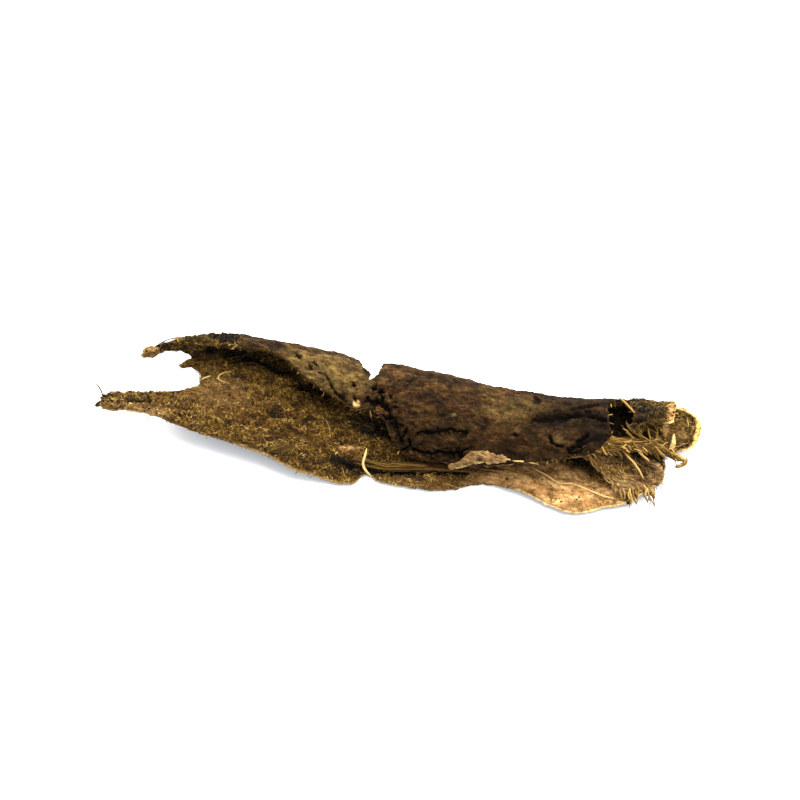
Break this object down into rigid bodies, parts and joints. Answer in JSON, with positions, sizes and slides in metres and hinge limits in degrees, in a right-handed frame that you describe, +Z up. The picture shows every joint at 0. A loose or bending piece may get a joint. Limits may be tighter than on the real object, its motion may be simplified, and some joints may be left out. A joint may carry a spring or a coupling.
{
  "type": "piece of bark",
  "caption": "Thin strip of dry bark curled into a flat scroll: open fibrous trough on the left, outer bark folded over on the right, with torn and frayed ends.",
  "frame": {"origin": "below the middle of the piece's box, on the surface it rests on", "axes": "+X along the grain, from the two torn prongs to the rounded tongue; +Y from the open front edge to the back fold; +Z up"},
  "size_m": [0.1192, 0.027, 0.0118],
  "materials": {
    "bark": "dry fibrous bark, dull and rough"
  },
  "bodies": {
    "root": {"bark": "bark"}
  },
  "joints": []
}
